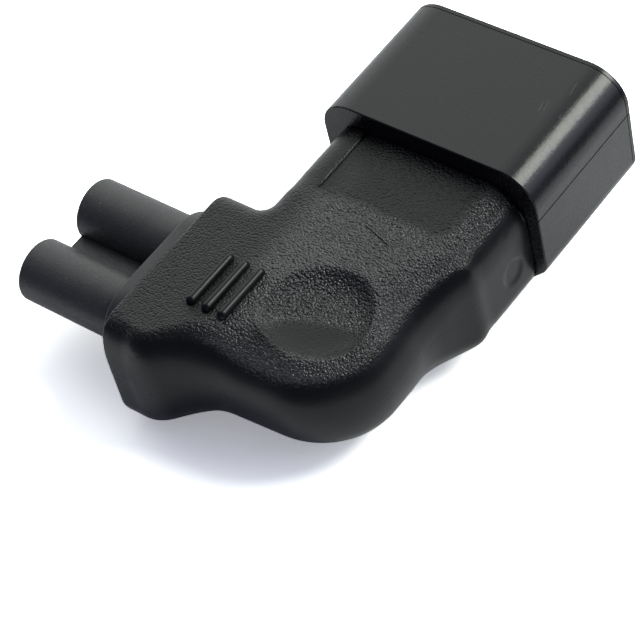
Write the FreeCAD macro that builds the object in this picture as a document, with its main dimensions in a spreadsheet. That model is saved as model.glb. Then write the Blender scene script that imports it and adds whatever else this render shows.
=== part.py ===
import FreeCAD, Part
import Sketcher
import math
import os

# Right-angle power adapter: a C14 inlet facing +Y and a two-barrel C7 connector facing -X,
# joined by a soft moulded elbow. Sketches are drawn about the crossing of the two connector
# axes, in their common middle plane; every piece is then placed so that the origin lies in the
# middle of the shroud's underside. Millimetres.

DIMENSIONS = [
    # C14 inlet shroud
    ("shroud_width", 27.0),
    ("shroud_height", 19.0),
    ("shroud_length", 17.05),
    ("shroud_back", 22.6),
    ("shroud_wall", 1.3),
    ("shroud_corner", 4.2),
    ("keying_chamfer", 5.0),
    ("keying_round", 2.4),
    ("floor_thickness", 1.05),
    ("rim_round", 0.15),
    ("rim_line_setback", 0.55),
    ("rim_line_width", 0.1),
    ("rim_line_depth", 0.1),
    ("back_round", 0.15),
    ("seam_rise", 4.0),
    ("seam_depth", 0.12),
    ("seam_width", 0.16),
    ("spigot_length", 6.5),
    ("spigot_margin", 1.1),
    ("spigot_lip", 0.9),
    ("spigot_lip_length", 2.2),
    # Blades of the inlet
    ("blade_pitch", 14.0),
    ("blade_height", 4.0),
    ("blade_thickness", 2.0),
    ("blade_rise", 2.0),
    ("blade_reach", 10.5),
    ("blade_root", 4.5),
    ("earth_lead", 1.0),
    ("blade_bevel", 0.55),
    ("cup_diameter", 2.8),
    ("cup_depth", 3.0),
    ("cup_length", 4.0),
    # C7 connector
    ("barrel_reach", 32.3),
    ("barrel_pitch", 9.6),
    ("barrel_diameter", 7.0),
    ("barrel_round", 0.35),
    ("web_thickness", 2.0),
    ("web_drop", 1.65),
    ("web_setback", 0.5),
    ("collar_margin", 1.0),
    ("collar_length", 3.15),
    ("collar_round", 0.3),
    ("root_length", 4.2),
    ("root_lip_length", 2.0),
    ("root_inset", 1.5),
    ("contact_pitch", 8.6),
    ("pin_hole", 2.9),
    ("barrel_lip", 1.2),
    ("sleeve_diameter", 3.2),
    ("sleeve_bore", 2.5),
    ("sleeve_length", 10.0),
    ("sleeve_slot", 0.5),
    # Conductors
    ("core_diameter", 1.3),
    ("insulation_diameter", 3.0),
    ("line_bend", 7.0),
    ("neutral_lead", 1.1),
    # Moulded elbow
    ("elbow_height", 14.5),
    ("end_face", 16.3),
    ("end_far", 9.4),
    ("end_near", 12.2),
    ("lobe_inset", 5.0),
    ("valley_left", 7.5),
    ("valley_depth", 8.0),
    ("corner_right", 9.7),
    ("corner_near", 7.0),
    ("flare_start", 7.0),
    ("step_place", 13.6),
    ("step_proud", 0.4),
    ("inner_setback", 0.4),
    ("lobe_round", 4.4),
    ("valley_round", 8.4),
    ("corner_round", 8.0),
    ("flare_round", 10.0),
    ("inner_round", 1.1),
    ("end_edge_round", 2.6),
    ("upper_corner_edge_round", 7.0),
    ("lower_corner_edge_round", 4.9),
    ("step_edge_round", 2.7),
    ("inner_edge_round", 2.4),
    ("mouth_round", 0.6),
    # Neck between elbow and shroud
    ("neck_wall_right", 2.0),
    ("neck_wall_left", 1.4),
    ("neck_wall_top", 1.15),
    ("neck_round", 3.2),
    ("neck_overlap", 0.6),
    ("panel_left", 7.5),
    ("panel_right", 8.5),
    ("panel_gap", 0.4),
    ("panel_depth", 0.3),
    ("gate_radius", 1.6),
    ("gate_depth", 0.2),
    ("gate_setback", 3.4),
    ("gate_drop", 1.1),
    # Grips on the elbow
    ("dish_right", 2.8),
    ("dish_far", 0.2),
    ("dish_radius", 11.2),
    ("dish_depth", 1.6),
    ("ridge_first", 9.5),
    ("ridge_pitch", 2.0),
    ("ridge_radius", 0.5),
    ("ridge_near", 4.55),
    ("ridge_far", 1.75),
]

SIZE = dict(DIMENSIONS)
RIDGE_COUNT = 3
NEAR = 1e-4

doc = FreeCAD.newDocument("right_angle_adapter")
sheet = doc.addObject("Spreadsheet::Sheet", "dims")
for row, (alias, value) in enumerate(DIMENSIONS, start=1):
    sheet.set(f"A{row}", alias)
    sheet.set(f"B{row}", str(value))
    sheet.setAlias(f"B{row}", alias)
doc.recompute()

# Planes shared by several pieces, as expressions in the sheet's values
COLLAR_FRONT = "(dims.end_face + dims.collar_length)"
ROOT_END = "(dims.end_face - dims.root_length)"
SPIGOT_END = "(dims.shroud_back - dims.spigot_length)"
CAVITY_FLOOR = "(dims.shroud_back + dims.floor_thickness)"
SHROUD_FRONT = "(dims.shroud_back + dims.shroud_length)"
SLEEVE_FRONT = "(dims.barrel_reach - dims.barrel_lip)"
LIP_ACROSS = "(dims.blade_pitch / 2 + dims.blade_thickness / 2 + dims.spigot_margin + dims.spigot_lip)"
LIP_UPWARD = "(dims.blade_rise + dims.blade_height / 2 + dims.spigot_margin + dims.spigot_lip)"
NECK_RIGHT = f"({LIP_ACROSS} + dims.neck_wall_right)"
NECK_LEFT = f"({LIP_ACROSS} + dims.neck_wall_left)"
NECK_TOP = f"({LIP_UPWARD} + dims.neck_wall_top)"
NEUTRAL_BEND = f"({ROOT_END} - dims.blade_pitch / 2 - dims.neutral_lead)"

# The same planes as numbers, to pick edges by
grip = SIZE["spigot_margin"] + SIZE["spigot_lip"]
lip_across = SIZE["blade_pitch"] / 2 + SIZE["blade_thickness"] / 2 + grip
lip_upward = SIZE["blade_rise"] + SIZE["blade_height"] / 2 + grip
neck_right = lip_across + SIZE["neck_wall_right"]
neck_left = lip_across + SIZE["neck_wall_left"]
neck_top = lip_upward + SIZE["neck_wall_top"]


def new_body(name):
    """A body whose sketches are drawn about the crossing of the connector axes."""
    body = doc.addObject("PartDesign::Body", name)
    body.Label = name
    body.setExpression("Placement.Base.y", "-dims.shroud_back - dims.shroud_length / 2")
    body.setExpression("Placement.Base.z", "dims.shroud_height / 2")
    return body


def origin_plane(body, role):
    return next(f for f in body.Origin.OriginFeatures if f.Role == role)


def new_sketch(body, name, role, offset="0"):
    """A sketch on an origin plane, moved along the plane's normal by an expression."""
    sketch = body.newObject("Sketcher::SketchObject", name)
    sketch.AttachmentSupport = [(origin_plane(body, role), "")]
    sketch.MapMode = "FlatFace"
    sketch.setExpression("AttachmentOffset.Base.z", offset)
    return sketch


def place(sketch, geometry, point, x, y):
    """Hold one point of the sketch at the expressions x and y."""
    for kind, expression in (("DistanceX", x), ("DistanceY", y)):
        index = sketch.addConstraint(Sketcher.Constraint(kind, geometry, point, 1.0))
        sketch.setExpression(f"Constraints[{index}]", expression)


def add_polygon(sketch, corners):
    """A closed outline of straight lines; each corner is a pair of expressions."""
    count = len(corners)
    turns = [2 * math.pi * i / count for i in range(count)]
    ring = [FreeCAD.Vector(10 * math.cos(a), 10 * math.sin(a), 0) for a in turns]
    lines = []
    for i in range(count):
        lines.append(sketch.addGeometry(Part.LineSegment(ring[i], ring[(i + 1) % count]), False))
    for i in range(count):
        after = lines[(i + 1) % count]
        sketch.addConstraint(Sketcher.Constraint("Coincident", lines[i], 2, after, 1))
    for line, (x, y) in zip(lines, corners):
        place(sketch, line, 1, x, y)


def add_box(sketch, left, right, low, high):
    add_polygon(sketch, [(left, low), (right, low), (right, high), (left, high)])


def add_circle(sketch, x, y, diameter):
    up = FreeCAD.Vector(0, 0, 1)
    circle = sketch.addGeometry(Part.Circle(FreeCAD.Vector(1, 1, 0), up, 1.0), False)
    place(sketch, circle, 3, x, y)
    index = sketch.addConstraint(Sketcher.Constraint("Diameter", circle, 2.0))
    sketch.setExpression(f"Constraints[{index}]", diameter)


def add_feature(body, kind, name, sketch, length, reverse=False, middle=False):
    """Pad or pocket a sketch by a length expression and check that the volume changed."""
    before = body.Shape.Volume if body.Tip else 0.0
    feature = body.newObject(kind, name)
    feature.Profile = sketch
    feature.setExpression("Length", length)
    feature.Reversed = reverse
    if middle:
        feature.SideType = "Symmetric"
    doc.recompute()
    change = body.Shape.Volume - before
    if change * (1 if kind.endswith("Pad") else -1) <= NEAR:
        raise RuntimeError(f"{name} changed nothing")
    return feature


def pad(body, name, sketch, length, reverse=False, middle=False):
    return add_feature(body, "PartDesign::Pad", name, sketch, length, reverse, middle)


def pocket(body, name, sketch, length, reverse=False):
    return add_feature(body, "PartDesign::Pocket", name, sketch, length, reverse)


def edges_where(body, test):
    """Names of the tip's edges whose two ends and middle all satisfy the test."""
    names = []
    for index, edge in enumerate(body.Tip.Shape.Edges, start=1):
        middle = edge.valueAt((edge.FirstParameter + edge.LastParameter) / 2)
        points = [v.Point for v in edge.Vertexes] + [middle]
        if all(test(p) for p in points):
            names.append(f"Edge{index}")
    return names


def outline_of_face(body, test):
    """Names of the edges round the outside of the tip's face whose corners satisfy the test."""
    shape = body.Tip.Shape
    face = next(f for f in shape.Faces if all(test(v.Point) for v in f.Vertexes))
    outline = face.OuterWire.Edges
    return [f"Edge{i}" for i, e in enumerate(shape.Edges, start=1) if any(e.isSame(o) for o in outline)]


def dress(body, kind, name, size_name, size, names):
    """Fillet or chamfer the named edges of the tip."""
    base = body.Tip
    if not names:
        raise RuntimeError(f"{name} found no edge")
    feature = body.newObject(kind, name)
    feature.Base = (base, names)
    feature.setExpression(size_name, size)
    doc.recompute()
    return feature


def fillet(body, name, radius, test):
    return dress(body, "PartDesign::Fillet", name, "Radius", radius, edges_where(body, test))


def chamfer(body, name, size, test):
    return dress(body, "PartDesign::Chamfer", name, "Size", size, edges_where(body, test))


def close(a, b, tolerance=1e-3):
    return abs(a - b) < tolerance


def upright_at(x, y):
    """Picks the vertical edge through a point of the plan."""
    return lambda p: close(p.x, x) and close(p.y, y)


def along_y_at(x, z):
    """Picks the edge that runs along Y through a point of the section."""
    return lambda p: close(p.x, x) and close(p.z, z)


def keyed_section(sketch, inset, chamfer_leg):
    """The inlet's section: two plain upper corners and two chamfered lower ones."""
    half = f"(dims.shroud_width / 2 - {inset})"
    tall = f"(dims.shroud_height / 2 - {inset})"
    add_polygon(sketch, [
        (f"-{half}", tall),
        (f"-{half}", f"-{tall} + {chamfer_leg}"),
        (f"-{half} + {chamfer_leg}", f"-{tall}"),
        (f"{half} - {chamfer_leg}", f"-{tall}"),
        (half, f"-{tall} + {chamfer_leg}"),
        (half, tall),
    ])


def build_housing():
    """C14 inlet: keyed shroud with its cavity, and a lipped spigot behind the floor."""
    body = new_body("c14_shell")
    outer_leg = "(dims.keying_chamfer + dims.shroud_wall * (2 - sqrt(2)))"
    half = SIZE["shroud_width"] / 2
    tall = SIZE["shroud_height"] / 2
    wall = SIZE["shroud_wall"]
    front = SIZE["shroud_back"] + SIZE["shroud_length"]
    leg = SIZE["keying_chamfer"] + wall * (2 - math.sqrt(2))

    section = new_sketch(body, "shroud_section", "XZ_Plane", "-dims.shroud_back")
    keyed_section(section, "0", outer_leg)
    pad(body, "shroud", section, "dims.shroud_length", reverse=True)
    hollow = new_sketch(body, "cavity_section", "XZ_Plane", f"-{SHROUD_FRONT}")
    keyed_section(hollow, "dims.shroud_wall", "dims.keying_chamfer")
    pocket(body, "cavity", hollow, "dims.shroud_length - dims.floor_thickness", reverse=True)
    for side, name in ((-1, "left"), (1, "right")):
        fillet(body, f"{name}_cavity_corner", "dims.shroud_corner - dims.shroud_wall",
               along_y_at(side * (half - wall), tall - wall))
        fillet(body, f"{name}_corner", "dims.shroud_corner", along_y_at(side * half, tall))
        fillet(body, f"{name}_keying_upper", "dims.keying_round", along_y_at(side * half, leg - tall))
        fillet(body, f"{name}_keying_lower", "dims.keying_round", along_y_at(side * (half - leg), -tall))
    rim = outline_of_face(body, lambda p: close(p.y, front))
    dress(body, "PartDesign::Fillet", "rim", "Radius", "dims.rim_round", rim)
    back = outline_of_face(body, lambda p: close(p.y, SIZE["shroud_back"]))
    dress(body, "PartDesign::Fillet", "back_edge", "Radius", "dims.back_round", back)

    seam = new_sketch(body, "seam_section", "XZ_Plane", f"-{SHROUD_FRONT}")
    for sign in ("-", ""):
        edges = [f"{sign}(dims.shroud_width / 2 - dims.seam_depth)", f"{sign}(dims.shroud_width / 2 + 1)"]
        add_box(seam, edges[0], edges[1], "dims.seam_rise - dims.seam_width / 2",
                "dims.seam_rise + dims.seam_width / 2")
    pocket(body, "seam", seam, "dims.shroud_length", reverse=True)

    spigot = new_sketch(body, "spigot_section", "XZ_Plane", "-dims.shroud_back")
    add_box(spigot, f"-{LIP_ACROSS} + dims.spigot_lip", f"{LIP_ACROSS} - dims.spigot_lip",
            f"-{LIP_UPWARD} + dims.spigot_lip", f"{LIP_UPWARD} - dims.spigot_lip")
    pad(body, "spigot", spigot, "dims.spigot_length")
    lip = new_sketch(body, "spigot_lip_section", "XZ_Plane", f"-{SPIGOT_END}")
    add_box(lip, f"-{LIP_ACROSS}", LIP_ACROSS, f"-{LIP_UPWARD}", LIP_UPWARD)
    pad(body, "spigot_lip", lip, "dims.spigot_lip_length", reverse=True)
    return body


def build_rim_line():
    """Ring that cuts a hairline groove round the outside of the shroud, just behind its mouth."""
    body = new_body("rim_line")
    depth = SIZE["rim_line_depth"]
    half = SIZE["shroud_width"] / 2 - depth
    tall = SIZE["shroud_height"] / 2 - depth
    leg = SIZE["keying_chamfer"] + (SIZE["shroud_wall"] - depth) * (2 - math.sqrt(2))
    inner_leg = "(dims.keying_chamfer + (dims.shroud_wall - dims.rim_line_depth) * (2 - sqrt(2)))"
    plane = f"-({SHROUD_FRONT} - dims.rim_line_setback)"

    plate = new_sketch(body, "rim_line_plate", "XZ_Plane", plane)
    add_box(plate, "-dims.shroud_width", "dims.shroud_width", "-dims.shroud_height", "dims.shroud_height")
    pad(body, "rim_line_blank", plate, "dims.rim_line_width")
    opening = new_sketch(body, "rim_line_section", "XZ_Plane", plane)
    keyed_section(opening, "dims.rim_line_depth", inner_leg)
    pocket(body, "rim_line_opening", opening, "dims.rim_line_width", reverse=True)
    for side, name in ((-1, "left"), (1, "right")):
        fillet(body, f"{name}_rim_corner", "dims.shroud_corner - dims.rim_line_depth",
               along_y_at(side * half, tall))
        fillet(body, f"{name}_rim_keying_upper", "dims.keying_round", along_y_at(side * half, leg - tall))
        fillet(body, f"{name}_rim_keying_lower", "dims.keying_round", along_y_at(side * (half - leg), -tall))
    return body


def build_blade(name, across, rise, lead, wired):
    """Flat blade fixed through the floor, with a conductor cup behind it where it is wired."""
    body = new_body(name)
    base = "(dims.shroud_back - dims.blade_root)"
    tip = f"({CAVITY_FLOOR} + dims.blade_reach + {lead})"
    section = new_sketch(body, f"{name}_section", "XZ_Plane", f"-{base}")
    add_box(section, f"{across} - dims.blade_thickness / 2", f"{across} + dims.blade_thickness / 2",
            f"{rise} - dims.blade_height / 2", f"{rise} + dims.blade_height / 2")
    pad(body, f"{name}_flat", section, f"{tip} - {base}", reverse=True)
    end = max(v.Point.y for v in body.Tip.Shape.Vertexes)
    chamfer(body, f"{name}_bevel", "dims.blade_bevel", lambda p: close(p.y, end))
    if wired:
        round_part = new_sketch(body, f"{name}_cup_section", "XZ_Plane", f"-{SPIGOT_END}")
        add_circle(round_part, across, "0", "dims.cup_diameter")
        pad(body, f"{name}_cup", round_part, "dims.cup_length", reverse=True)
        hole = new_sketch(body, f"{name}_cup_hole", "XZ_Plane", f"-{SPIGOT_END}")
        add_circle(hole, across, "0", "dims.core_diameter")
        pocket(body, f"{name}_cup_bore", hole, "dims.cup_depth")
    return body


def build_insert():
    """Two-barrel connector: barrels, web, oval collar and the lipped root in the elbow."""
    body = new_body("c7_insert")
    collar_radius = "(dims.barrel_diameter / 2 + dims.collar_margin)"

    bar = new_sketch(body, "collar_bar", "YZ_Plane", f"-{COLLAR_FRONT}")
    add_box(bar, "-dims.barrel_pitch / 2", "dims.barrel_pitch / 2", f"-{collar_radius}", collar_radius)
    pad(body, "collar_middle", bar, "dims.collar_length")
    ends = new_sketch(body, "collar_ends", "YZ_Plane", f"-{COLLAR_FRONT}")
    for sign in ("-", ""):
        add_circle(ends, f"{sign}dims.barrel_pitch / 2", "0", f"2 * {collar_radius}")
    pad(body, "collar", ends, "dims.collar_length")
    front = outline_of_face(body, lambda p: close(p.x, -SIZE["end_face"] - SIZE["collar_length"]))
    dress(body, "PartDesign::Fillet", "collar_edge", "Radius", "dims.collar_round", front)

    rods = new_sketch(body, "barrel_section", "YZ_Plane", "-dims.barrel_reach")
    for sign in ("-", ""):
        add_circle(rods, f"{sign}dims.barrel_pitch / 2", "0", "dims.barrel_diameter")
    pad(body, "barrels", rods, f"dims.barrel_reach - {COLLAR_FRONT}")
    tip = -SIZE["barrel_reach"]
    fillet(body, "barrel_ends", "dims.barrel_round", lambda p: close(p.x, tip))

    web = new_sketch(body, "web_section", "YZ_Plane", "-dims.barrel_reach + dims.web_setback")
    add_box(web, "-dims.barrel_pitch / 2", "dims.barrel_pitch / 2",
            "-dims.web_drop - dims.web_thickness / 2", "-dims.web_drop + dims.web_thickness / 2")
    pad(body, "web", web, f"dims.barrel_reach - dims.web_setback - {COLLAR_FRONT}")

    across = "(dims.barrel_pitch / 2 + dims.barrel_diameter / 2)"
    lip = new_sketch(body, "root_lip_section", "YZ_Plane", f"-{ROOT_END}")
    add_box(lip, f"-{across}", across, f"-{collar_radius}", collar_radius)
    stem = new_sketch(body, "root_section", "YZ_Plane", "-dims.end_face")
    add_box(stem, f"-{across} + dims.root_inset", f"{across} - dims.root_inset",
            f"-{collar_radius} + dims.root_inset", f"{collar_radius} - dims.root_inset")
    pad(body, "root", stem, "dims.root_length")
    pad(body, "root_lip", lip, "dims.root_lip_length", reverse=True)

    wells = new_sketch(body, "contact_wells", "YZ_Plane", f"-{ROOT_END}")
    for sign in ("-", ""):
        add_circle(wells, f"{sign}dims.contact_pitch / 2", "0", "dims.sleeve_diameter")
    pocket(body, "contact_well", wells, f"{SLEEVE_FRONT} - {ROOT_END}")
    entries = new_sketch(body, "pin_entries", "YZ_Plane", "-dims.barrel_reach")
    for sign in ("-", ""):
        add_circle(entries, f"{sign}dims.contact_pitch / 2", "0", "dims.pin_hole")
    pocket(body, "pin_entry", entries, "dims.barrel_lip", reverse=True)
    return body


def build_sleeve(name, across):
    """Split contact tube with a solid tail and a conductor cup."""
    body = new_body(name)
    outline = new_sketch(body, f"{name}_section", "YZ_Plane", f"-{SLEEVE_FRONT}")
    add_circle(outline, across, "0", "dims.sleeve_diameter")
    pad(body, f"{name}_rod", outline, f"{SLEEVE_FRONT} - {ROOT_END}")
    bore = new_sketch(body, f"{name}_bore_section", "YZ_Plane", f"-{SLEEVE_FRONT}")
    add_circle(bore, across, "0", "dims.sleeve_bore")
    pocket(body, f"{name}_bore", bore, "dims.sleeve_length", reverse=True)
    slot = new_sketch(body, f"{name}_slot_section", "YZ_Plane", f"-{SLEEVE_FRONT}")
    add_box(slot, f"{across} - dims.sleeve_slot / 2", f"{across} + dims.sleeve_slot / 2",
            "dims.sleeve_bore / 4", "dims.sleeve_diameter")
    pocket(body, f"{name}_slot", slot, "dims.sleeve_length", reverse=True)
    cup = new_sketch(body, f"{name}_cup_section", "YZ_Plane", f"-{ROOT_END}")
    add_circle(cup, across, "0", "dims.core_diameter")
    pocket(body, f"{name}_cup", cup, "dims.cup_depth")
    return body


def add_route(body, name, across, bend, start, along, end):
    """Path in the middle plane: along +X from the contact, one bend, then +Y to the blade."""
    route = new_sketch(body, name, "XY_Plane")
    turn = Part.Circle(FreeCAD.Vector(0, 5, 0), FreeCAD.Vector(0, 0, 1), 5.0)
    first = route.addGeometry(Part.LineSegment(FreeCAD.Vector(-15, 0, 0), FreeCAD.Vector(0, 0, 0)), False)
    arc = route.addGeometry(Part.ArcOfCircle(turn, -math.pi / 2, 0), False)
    last = route.addGeometry(Part.LineSegment(FreeCAD.Vector(5, 5, 0), FreeCAD.Vector(5, 15, 0)), False)
    route.addConstraint(Sketcher.Constraint("Tangent", first, 2, arc, 1))
    route.addConstraint(Sketcher.Constraint("Tangent", arc, 2, last, 1))
    route.addConstraint(Sketcher.Constraint("Horizontal", first))
    route.addConstraint(Sketcher.Constraint("Vertical", last))
    radius = route.addConstraint(Sketcher.Constraint("Radius", arc, 5.0))
    route.setExpression(f"Constraints[{radius}]", bend)
    place(route, first, 1, start, across)
    place(route, last, 2, along, end)
    return route


def add_pipe(body, kind, name, route, start, across, diameter):
    section = new_sketch(body, f"{name}_section", "YZ_Plane", start)
    add_circle(section, across, "0", diameter)
    doc.recompute()
    pipe = body.newObject(kind, name)
    pipe.Profile = section
    pipe.Spine = (route, ["Edge1", "Edge2", "Edge3"])
    doc.recompute()
    return pipe


def build_wire(pole, contact, blade, bend):
    """One pole's conductor core and its insulation, stripped where it enters the cups."""
    core = new_body(f"{pole}_core")
    start = f"(-{ROOT_END} - dims.cup_depth)"
    end = f"({SPIGOT_END} + dims.cup_depth)"
    route = add_route(core, f"{pole}_core_route", contact, bend, start, blade, end)
    add_pipe(core, "PartDesign::AdditivePipe", f"{pole}_strand", route, start, contact, "dims.core_diameter")

    jacket = new_body(f"{pole}_insulation")
    start = f"(-{ROOT_END})"
    route = add_route(jacket, f"{pole}_jacket_route", contact, bend, start, blade, SPIGOT_END)
    add_pipe(jacket, "PartDesign::AdditivePipe", f"{pole}_jacket", route, start, contact,
             "dims.insulation_diameter")
    add_pipe(jacket, "PartDesign::SubtractivePipe", f"{pole}_jacket_bore", route, start, contact,
             "dims.core_diameter")
    return core, jacket


def build_elbow():
    """Body of the elbow: plan with lobe, scallop and outer corner, before its edges are rounded."""
    body = new_body("elbow_block")
    plan = new_sketch(body, "elbow_plan", "XY_Plane")
    add_polygon(plan, [
        ("-dims.end_face", "dims.end_far"),
        ("-dims.end_face", "-dims.end_near"),
        ("-dims.end_face + dims.lobe_inset", "-dims.end_near"),
        ("-dims.valley_left", "-dims.valley_depth"),
        ("dims.corner_right", "-dims.corner_near"),
        ("dims.corner_right", "dims.flare_start"),
        (f"{NECK_RIGHT} + dims.step_proud", "dims.step_place"),
        (f"-{NECK_LEFT} + dims.inner_setback", "dims.step_place"),
        (f"-{NECK_LEFT} + dims.inner_setback", "dims.end_far"),
    ])
    pad(body, "elbow", plan, "dims.elbow_height", middle=True)
    uprights = {
        "lobe": (SIZE["lobe_inset"] - SIZE["end_face"], -SIZE["end_near"]),
        "valley": (-SIZE["valley_left"], -SIZE["valley_depth"]),
        "corner": (SIZE["corner_right"], -SIZE["corner_near"]),
        "flare": (SIZE["corner_right"], SIZE["flare_start"]),
        "inner": (SIZE["inner_setback"] - neck_left, SIZE["end_far"]),
    }
    for name, (x, y) in uprights.items():
        fillet(body, f"{name}_upright", f"dims.{name}_round", upright_at(x, y))
    return body


def drawn(point):
    """A placed point in the coordinates that the sketches are drawn in."""
    back = SIZE["shroud_back"] + SIZE["shroud_length"] / 2
    return point - FreeCAD.Vector(0, -back, SIZE["shroud_height"] / 2)


def follow(shape, level, start):
    """The edges at one level that follow each other from a start point, and their senses."""
    left = []
    for index, edge in enumerate(shape.Edges, start=1):
        points = [drawn(v.Point) for v in edge.Vertexes]
        flat = all(close(p.z, level) for p in points)
        closing = all(close(p.x, points[0].x) for p in points) and close(points[0].x, -SIZE["end_face"])
        stepping = all(close(p.y, SIZE["step_place"]) for p in points)
        if flat and not closing and not stepping:
            left.append((index, edge, points))
    chain = []
    here = start
    while True:
        found = None
        for item in left:
            for near, far in ((0, 1), (1, 0)):
                if item[2][near].distanceToPoint(here) < 1e-3:
                    found = (item, near, far)
        if not found:
            return chain
        (index, edge, points), near, far = found
        left = [item for item in left if item[0] != index]
        chain.append((index, edge, near == 0))
        here = points[far]


def round_elbow(block):
    """Round the elbow's edges: fuller at the outer corner than at either end."""
    shape = block.Shape
    top = SIZE["elbow_height"] / 2
    low, last = SIZE["end_edge_round"], SIZE["step_edge_round"]
    edges = []
    for level, side in ((top, "upper"), (-top, "lower")):
        full = SIZE[f"{side}_corner_edge_round"]
        outer = follow(shape, level, FreeCAD.Vector(-SIZE["end_face"], -SIZE["end_near"], level))
        corner = next(i for i, (_, e, _) in enumerate(outer)
                      if hasattr(e.Curve, "Radius") and close(e.Curve.Radius, SIZE["corner_round"]))
        before = sum(e.Length for _, e, _ in outer[:corner])
        after = sum(e.Length for _, e, _ in outer[corner + 1:])
        gone = 0.0
        for place_in_chain, (index, edge, forward) in enumerate(outer):
            if place_in_chain < corner:
                ends = [low + (full - low) * (gone + step) / before for step in (0, edge.Length)]
                gone += edge.Length
            elif place_in_chain == corner:
                ends = [full, full]
                gone = 0.0
            else:
                ends = [full + (last - full) * (gone + step) / after for step in (0, edge.Length)]
                gone += edge.Length
            edges.append((index, *(ends if forward else ends[::-1])))
        inner = follow(shape, level, FreeCAD.Vector(-SIZE["end_face"], SIZE["end_far"], level))
        for index, _, _ in inner:
            edges.append((index, SIZE["inner_edge_round"], SIZE["inner_edge_round"]))
    rounded = doc.addObject("Part::Fillet", "elbow_rounded")
    rounded.Base = block
    rounded.Edges = edges
    doc.recompute()

    mouth = next(f for f in rounded.Shape.Faces
                 if all(close(v.Point.x, -SIZE["end_face"]) for v in f.Vertexes))
    outline = mouth.OuterWire.Edges
    softened = doc.addObject("Part::Fillet", "elbow_softened")
    softened.Base = rounded
    softened.Edges = [(i, SIZE["mouth_round"], SIZE["mouth_round"])
                      for i, e in enumerate(rounded.Shape.Edges, start=1)
                      if any(e.isSame(o) for o in outline)]
    doc.recompute()
    return softened


def build_neck():
    """Neck between elbow and shroud, with a shallow panel on top and a gate mark at its side."""
    body = new_body("neck_block")
    section = new_sketch(body, "neck_section", "XZ_Plane", "-dims.shroud_back")
    add_box(section, f"-{NECK_LEFT}", NECK_RIGHT, f"-{NECK_TOP}", NECK_TOP)
    pad(body, "neck", section, "dims.shroud_back - dims.step_place + dims.neck_overlap")
    for x in (-neck_left, neck_right):
        for z in (-neck_top, neck_top):
            name = ("right" if x > 0 else "left") + ("_upper" if z > 0 else "_lower")
            fillet(body, f"{name}_neck_edge", "dims.neck_round", along_y_at(x, z))
    panel = new_sketch(body, "panel_outline", "XY_Plane", NECK_TOP)
    add_box(panel, "-dims.panel_left", "dims.panel_right",
            "dims.step_place + dims.panel_gap", "dims.shroud_back")
    pocket(body, "panel", panel, "dims.panel_depth")
    gate = new_sketch(body, "gate_outline", "YZ_Plane", NECK_RIGHT)
    add_circle(gate, "dims.shroud_back - dims.gate_setback", "-dims.gate_drop", "2 * dims.gate_radius")
    pocket(body, "gate_mark", gate, "dims.gate_depth")
    return body


def placed(kind, name, x, y, z, sizes):
    """A primitive at a point given in the coordinates that the sketches are drawn in."""
    item = doc.addObject(kind, name)
    item.setExpression("Placement.Base.x", x)
    item.setExpression("Placement.Base.y", f"{y} - dims.shroud_back - dims.shroud_length / 2")
    item.setExpression("Placement.Base.z", f"{z} + dims.shroud_height / 2")
    for size_name, expression in sizes.items():
        item.setExpression(size_name, expression)
    return item


def build_ridges():
    """Round-ended ribs across the elbow, above and below."""
    pieces = []
    for side, sign in (("upper", ""), ("lower", "-")):
        level = f"{sign}dims.elbow_height / 2"
        for count in range(RIDGE_COUNT):
            x = f"-dims.ridge_first + {count} * dims.ridge_pitch"
            name = f"{side}_ridge_{count + 1}"
            bar = placed("Part::Cylinder", f"{name}_bar", x, "-dims.ridge_near", level,
                         {"Radius": "dims.ridge_radius", "Height": "dims.ridge_near + dims.ridge_far"})
            bar.Placement.Rotation = FreeCAD.Rotation(FreeCAD.Vector(1, 0, 0), -90)
            pieces.append(bar)
            for end, y in (("near", "-dims.ridge_near"), ("far", "dims.ridge_far")):
                pieces.append(placed("Part::Sphere", f"{name}_{end}", x, y, level,
                                     {"Radius": "dims.ridge_radius"}))
    return pieces


def build_dishes():
    """Balls that hollow the thumb dishes, above and below."""
    centre = "(dims.elbow_height / 2 - dims.dish_depth + dims.dish_radius)"
    return [placed("Part::Sphere", f"{side}_dish", "dims.dish_right", "dims.dish_far", f"{sign}{centre}",
                   {"Radius": "dims.dish_radius"})
            for side, sign in (("upper", ""), ("lower", "-"))]


def fuse(name, pieces):
    whole = doc.addObject("Part::MultiFuse", name)
    whole.Shapes = pieces
    whole.Refine = False
    return whole


def cut(name, base, tool):
    rest = doc.addObject("Part::Cut", name)
    rest.Label = name
    rest.Base = base
    rest.Tool = tool
    rest.Refine = False
    return rest


shell = build_housing()
half_pitch = "dims.blade_pitch / 2"
line_blade = build_blade("line_blade", half_pitch, "dims.blade_rise", "0", True)
neutral_blade = build_blade("neutral_blade", f"-{half_pitch}", "dims.blade_rise", "0", True)
earth_blade = build_blade("earth_blade", "0", "-dims.blade_rise", "dims.earth_lead", False)

insert = build_insert()
line_sleeve = build_sleeve("line_sleeve", "-dims.contact_pitch / 2")
neutral_sleeve = build_sleeve("neutral_sleeve", "dims.contact_pitch / 2")

line_core, line_jacket = build_wire("line", "-dims.contact_pitch / 2", half_pitch, "dims.line_bend")
neutral_core, neutral_jacket = build_wire("neutral", "dims.contact_pitch / 2", f"-{half_pitch}", NEUTRAL_BEND)

blades = fuse("blade_set", [line_blade, neutral_blade, earth_blade, line_core, neutral_core])
housing_tools = fuse("housing_tools", [blades, build_rim_line()])
housing = cut("c14_housing", shell, housing_tools)

elbow = round_elbow(build_elbow())
moulding = fuse("moulding_solid", [elbow, build_neck()] + build_ridges())
dished = cut("moulding_dished", moulding, fuse("dish_pair", build_dishes()))
held = fuse("held_pieces", [shell, blades, insert, line_sleeve, neutral_sleeve, line_jacket,
                            neutral_jacket])
overmould = cut("overmould_body", dished, held)
doc.recompute()

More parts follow.
